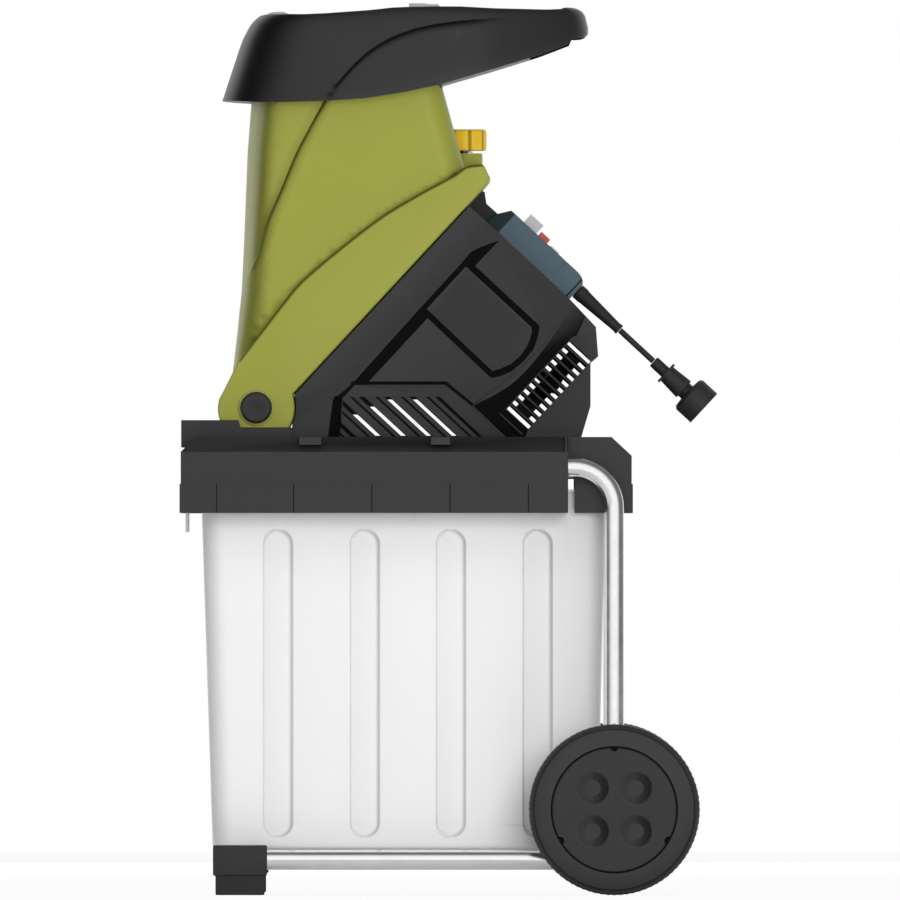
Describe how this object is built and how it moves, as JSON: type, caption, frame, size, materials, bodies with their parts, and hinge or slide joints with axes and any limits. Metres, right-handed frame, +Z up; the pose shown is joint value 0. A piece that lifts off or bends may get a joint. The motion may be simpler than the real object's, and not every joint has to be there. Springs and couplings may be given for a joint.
{
  "type": "electric wood chipper",
  "caption": "Electric garden chipper: tilting green hopper with a black hood over a disc cutter and motor, on a tube frame with wheels and a pull-out box.",
  "frame": {"origin": "on the floor, midway between the front of the base and the back of the wheels, on the middle plane", "axes": "+Z up; +X from the hopper towards the wheels; Y across the machine, with its left-hand side at -Y"},
  "size_m": [0.5386, 0.46, 0.8925],
  "materials": {
    "green_plastic": "satin, lightly grained",
    "black_plastic": "satin, lightly grained",
    "blue_plastic": "satin",
    "yellow_plastic": "satin",
    "grey_plastic": "satin",
    "red_plastic": "gloss",
    "clear_plastic": "milky, lets some light through",
    "tube_steel": "bright plated",
    "blade_steel": "ground",
    "cast_aluminium": "as cast",
    "copper": "copper windings",
    "brass": "plain",
    "rubber": "matt"
  },
  "bodies": {
    "machine": {"frame_tube_left": "tube_steel", "frame_tube_right": "tube_steel", "foot_left": "rubber", "foot_right": "rubber", "front_crossbar": "tube_steel", "rear_crossbar": "tube_steel", "axle": "tube_steel", "base_deck": "black_plastic", "hinge_pin_left": "black_plastic", "hinge_pin_right": "black_plastic", "cutter_housing": "black_plastic", "latch_nut": "brass", "motor_cover": "black_plastic", "gear_case": "cast_aluminium", "spindle_bearing_front": "blade_steel", "spindle_bearing_back": "blade_steel", "motor_bearing_front": "blade_steel", "motor_bearing_back": "blade_steel", "motor_can": "black_plastic", "stator": "blade_steel", "brush_left": "brass", "brush_right": "brass", "switch_box": "blue_plastic", "switch_box_end": "blue_plastic", "switch_module": "black_plastic", "strain_relief": "rubber", "cord": "rubber", "plug": "rubber", "plug_blade_1": "brass", "plug_blade_2": "brass"},
    "hopper": {"hopper": "green_plastic", "hood": "black_plastic", "guard": "grey_plastic", "counter_blade": "blade_steel"},
    "knob_washer": {"knob_washer": "black_plastic"},
    "knob": {"knob": "yellow_plastic", "knob_bolt": "blade_steel"},
    "cutter": {"spindle": "blade_steel", "blade_disc": "blade_steel", "cutting_blade_1": "blade_steel", "cutting_blade_2": "blade_steel", "blade_screw_1": "blade_steel", "blade_screw_2": "blade_steel", "blade_screw_3": "blade_steel", "blade_screw_4": "blade_steel", "spindle_nut": "blade_steel", "drive_gear": "blade_steel"},
    "rotor": {"motor_shaft": "blade_steel", "armature": "copper", "commutator": "copper", "cooling_fan": "black_plastic"},
    "wheel_left": {"wheel_left": "black_plastic", "hub_cap_left": "black_plastic"},
    "wheel_right": {"wheel_right": "black_plastic", "hub_cap_right": "black_plastic"},
    "bin": {"bin": "clear_plastic"},
    "start_button": {"start_button": "grey_plastic"},
    "stop_button": {"stop_button": "red_plastic"},
    "reset_button": {"reset_button": "grey_plastic"}
  },
  "joints": [
    {"name": "hopper_hinge", "type": "hinge", "parent": "machine", "child": "hopper", "pos_m": [-0.1836, 0, 0.4872], "axis": [0, -1, 0], "range_deg": [0, 65]},
    {"name": "knob_lift", "type": "slide", "parent": "hopper", "child": "knob_washer", "axis": [0, 0, 1], "range_m": [-0.0009, 0.01]},
    {"name": "knob_turn", "type": "hinge", "parent": "knob_washer", "child": "knob", "pos_m": [0.0244, 0, 0.7453], "axis": [0, 0, 1], "range_deg": [-259.2, 2880]},
    {"name": "blade_spin", "type": "hinge", "parent": "machine", "child": "cutter", "pos_m": [-0.05112, 0, 0.60401], "axis": [0.7334, 0, -0.6798], "continuous": true},
    {"name": "motor_spin", "type": "hinge", "parent": "machine", "child": "rotor", "pos_m": [-0.02265, 0, 0.63472], "axis": [0.7334, 0, -0.6798], "continuous": true},
    {"name": "wheel_left_spin", "type": "hinge", "parent": "machine", "child": "wheel_left", "pos_m": [0.1744, -0.212, 0.0855], "axis": [0, 1, 0], "continuous": true},
    {"name": "wheel_right_spin", "type": "hinge", "parent": "machine", "child": "wheel_right", "pos_m": [0.1744, 0.212, 0.0855], "axis": [0, 1, 0], "continuous": true},
    {"name": "bin_slide", "type": "slide", "parent": "machine", "child": "bin", "axis": [-1, 0, 0], "range_m": [0, 0.4]},
    {"name": "start_press", "type": "slide", "parent": "machine", "child": "start_button", "axis": [-0.6798, 0, -0.7334], "range_m": [0, 0.0035], "stiffness_N_per_m": 600, "springref_m": -0.001},
    {"name": "stop_press", "type": "slide", "parent": "machine", "child": "stop_button", "axis": [-0.6798, 0, -0.7334], "range_m": [0, 0.0035], "stiffness_N_per_m": 600, "springref_m": -0.001},
    {"name": "reset_press", "type": "slide", "parent": "machine", "child": "reset_button", "axis": [-0.6798, 0, -0.7334], "range_m": [0, 0.0012], "stiffness_N_per_m": 600, "springref_m": -0.001}
  ],
  "couplings": [
    {"joint": "motor_spin", "follows": "blade_spin", "ratio": -3.7857},
    {"joint": "knob_turn", "follows": "knob_lift", "rad_per_m": 5026.5}
  ]
}
